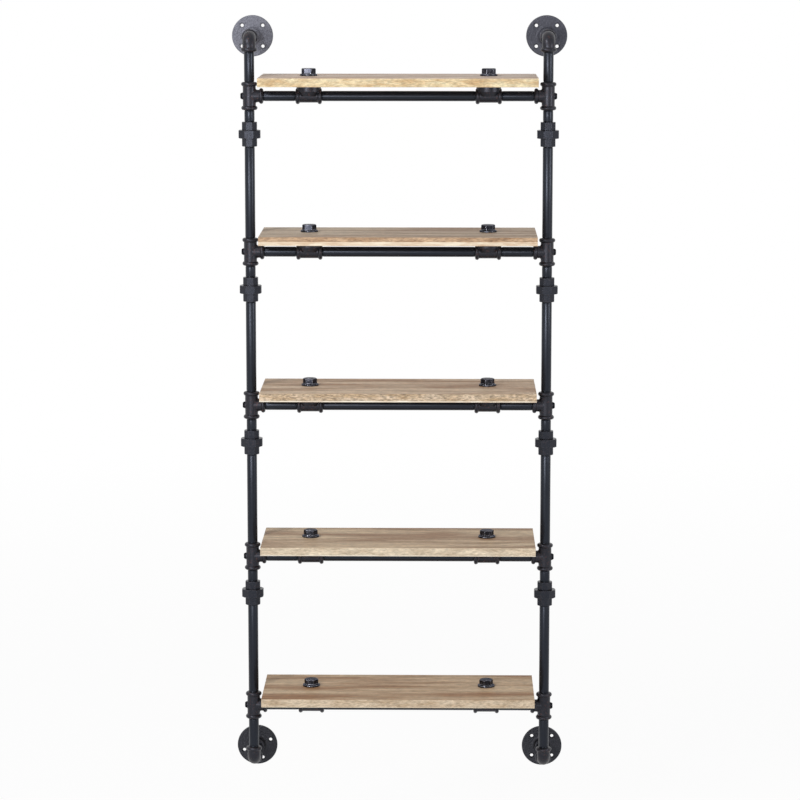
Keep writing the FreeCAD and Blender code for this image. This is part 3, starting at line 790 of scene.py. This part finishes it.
def blued_steel(name, film, pale_rub_and_glint, roughness):
    """Blued steel: a dark film with a metal's clear glints, which stays dark at a glancing angle. Its
    edges are drawn pale, partly rubbed bare and partly a painted glint."""
    material = new_material(name)
    tree = material.node_tree
    place = add(tree, "ShaderNodeTexCoord", out="Object")
    marks = add(
        tree,
        "ShaderNodeTexNoise",
        {"Vector": place, "Scale": per_metre(BLUED_MARK_MM), "Detail": 4.0, "Roughness": 0.65},
    )
    rounded, rim = rounded_edges_and_mask(tree, BLUED_EDGE_MM)
    rubbed = add(
        tree,
        "ShaderNodeMapRange",
        {"Value": marks, "From Min": 0.5, "From Max": 0.75, "To Max": 0.25},
    )
    rub_and_glint = add(tree, "ShaderNodeMath", {0: rim, 1: rubbed}, operation="MAXIMUM")
    colour = add(
        tree,
        "ShaderNodeMix",
        {"Factor": rub_and_glint, "A": linear(film), "B": linear(pale_rub_and_glint)},
        data_type="RGBA",
    )
    sheen = add(
        tree,
        "ShaderNodeMapRange",
        {
            "Value": marks,
            "From Min": 0.3,
            "From Max": 0.7,
            "To Min": roughness - BLUED_SMOOTHER,
            "To Max": roughness + BLUED_ROUGHER,
        },
    )
    bump = add(
        tree,
        "ShaderNodeBump",
        {"Height": marks, "Distance": BLUED_RELIEF_MM * METRES_PER_MM, "Normal": rounded},
    )
    shader = add(
        tree,
        "ShaderNodeBsdfPrincipled",
        {
            "Base Color": colour,
            "Metallic": 1.0,
            "Roughness": sheen,
            "Specular Tint": linear(BLUED_GRAZE),
            "Normal": bump,
        },
    )
    add(tree, "ShaderNodeOutputMaterial", {"Surface": shader})
    return material


# Pale edges on the hexagons and flange rims: partly rubbed bare, partly a painted glint
plug_steel = blued_steel("blued_steel", film="#2f3139", pale_rub_and_glint="#a5a6b1", roughness=0.28)
for side in ("left", "right"):
    dress(f"plug_bolts_{side}", plug_steel)

# Side screws
# Small button-head screws, one in the boss on the outer side of each post tee, with a hexagon socket.
# Steel, black all over and only a little glossy.
screw_steel = blued_steel("black_oxide_steel", film="#17181b", pale_rub_and_glint="#3c3c42", roughness=0.34)
dress("side_screws", screw_steel)

# Floor and white surround
# A floor in matt white paint under the hanging unit, and empty space round it. Both are white to the
# eye and in reflections, and light the unit only softly. The floor shows a faint shadow of the unit.
FLOOR_DROP_M = 0.15
FLOOR_HALF_M = 400.0
FLOOR_GLOW_SHARE = 0.95
FLOOR_SHADOW_M = 1.6
FLOOR_FADE_M = 5.0
SURROUND_LIGHT = 0.27
floor_z = cad_box[0].z - FLOOR_DROP_M
floor_corners = [
    (x * FLOOR_HALF_M, y * FLOOR_HALF_M, floor_z) for x, y in ((-1, -1), (1, -1), (1, 1), (-1, 1))
]
floor_mesh = bpy.data.meshes.new("floor")
floor_mesh.from_pydata(floor_corners, [], [(0, 1, 2, 3)])
floor = bpy.data.objects.new("floor", floor_mesh)
bpy.context.scene.collection.objects.link(floor)


def seen_as_white(tree):
    """1 for rays that reach the eye straight, in a reflection or through glass."""
    rays = add(tree, "ShaderNodeLightPath").node.outputs
    seen = add(
        tree,
        "ShaderNodeMath",
        {0: rays["Is Camera Ray"], 1: rays["Is Glossy Ray"]},
        operation="MAXIMUM",
    )
    return add(tree, "ShaderNodeMath", {0: seen, 1: rays["Is Transmission Ray"]}, operation="MAXIMUM")


floor_paint = new_material("matt_white_floor_paint")
floor_tree = floor_paint.node_tree
spot = add(floor_tree, "ShaderNodeTexCoord", out="Object")
flat_spot = add(floor_tree, "ShaderNodeVectorMath", {0: spot, 1: (1.0, 1.0, 0.0)}, operation="MULTIPLY")
away = add(floor_tree, "ShaderNodeVectorMath", {0: flat_spot}, out="Value", operation="LENGTH")
glow_share = add(
    floor_tree,
    "ShaderNodeMapRange",
    {"Value": away, "From Min": FLOOR_SHADOW_M, "From Max": FLOOR_FADE_M, "To Min": FLOOR_GLOW_SHARE},
)
as_white = seen_as_white(floor_tree)
glow = add(floor_tree, "ShaderNodeMath", {0: as_white, 1: glow_share}, operation="MULTIPLY")
matt = add(floor_tree, "ShaderNodeBsdfDiffuse", {"Color": linear("#fafafa")})
white = add(floor_tree, "ShaderNodeEmission", {"Color": linear("#ffffff"), "Strength": 1.0})
floor_shader = add(floor_tree, "ShaderNodeMixShader", {0: glow, 1: matt, 2: white})
add(floor_tree, "ShaderNodeOutputMaterial", {"Surface": floor_shader})
floor_mesh.materials.append(floor_paint)

world = bpy.data.worlds.new("white_surround")
world.use_nodes = True
world_tree = world.node_tree
world_tree.nodes.clear()
strength = add(
    world_tree,
    "ShaderNodeMapRange",
    {"Value": seen_as_white(world_tree), "To Min": SURROUND_LIGHT, "To Max": 1.0},
)
surround = add(world_tree, "ShaderNodeBackground", {"Color": linear("#ffffff"), "Strength": strength})
add(world_tree, "ShaderNodeOutputWorld", {"Surface": surround})
bpy.context.scene.world = world

# Lamps
# Four softboxes: the main one and a wide strip left of the eye, which draw light stripes down the posts,
# a weak one far round to the right, and one high on the left that reaches in over the boards.
# Each has its place, aim, width and height in metres, and its power in watts.
SOFTBOXES = {
    "key_softbox": ((-1.95, -4.6, 0.65), (0.0, -0.12, 0.3), (0.7, 0.6), 60.0),
    "front_strip": ((-0.9, -4.9, 0.5), (0.0, -0.12, 0.3), (2.8, 0.5), 54.0),
    "right_softbox": ((3.0, -1.9, 0.6), (0.0, -0.12, 0.3), (0.8, 0.6), 25.0),
    "high_softbox": ((-2.0, -2.4, 2.6), (0.0, -0.12, 0.1), (0.8, 0.7), 64.0),
}
for name, (place, aim, (width, height), watts) in SOFTBOXES.items():
    lamp = bpy.data.lights.new(name, "AREA")
    lamp.shape = "RECTANGLE"
    lamp.size = width
    lamp.size_y = height
    lamp.energy = watts
    softbox = bpy.data.objects.new(name, lamp)
    softbox.location = place
    softbox.rotation_euler = (Vector(aim) - Vector(place)).to_track_quat("-Z", "Y").to_euler()
    softbox.visible_camera = False
    bpy.context.scene.collection.objects.link(softbox)

# Camera
# It stands well back, a little above the top board and a hand to the right of the middle, and looks
# slightly down, so the lower boards show more of their tops.
CAMERA_PLACE = (0.094, -6.5, 0.981)
CAMERA_DOWN_DEG = 8.65
CAMERA_LEFT_DEG = 0.82
LENS_MM = 137.2
eye = bpy.data.cameras.new("eye")
eye.lens = LENS_MM
camera = bpy.data.objects.new("eye", eye)
camera.location = CAMERA_PLACE
camera.rotation_euler = (math.radians(90 - CAMERA_DOWN_DEG), 0.0, math.radians(CAMERA_LEFT_DEG))
bpy.context.scene.collection.objects.link(camera)
bpy.context.scene.camera = camera
bpy.context.scene.view_settings.view_transform = "Standard"
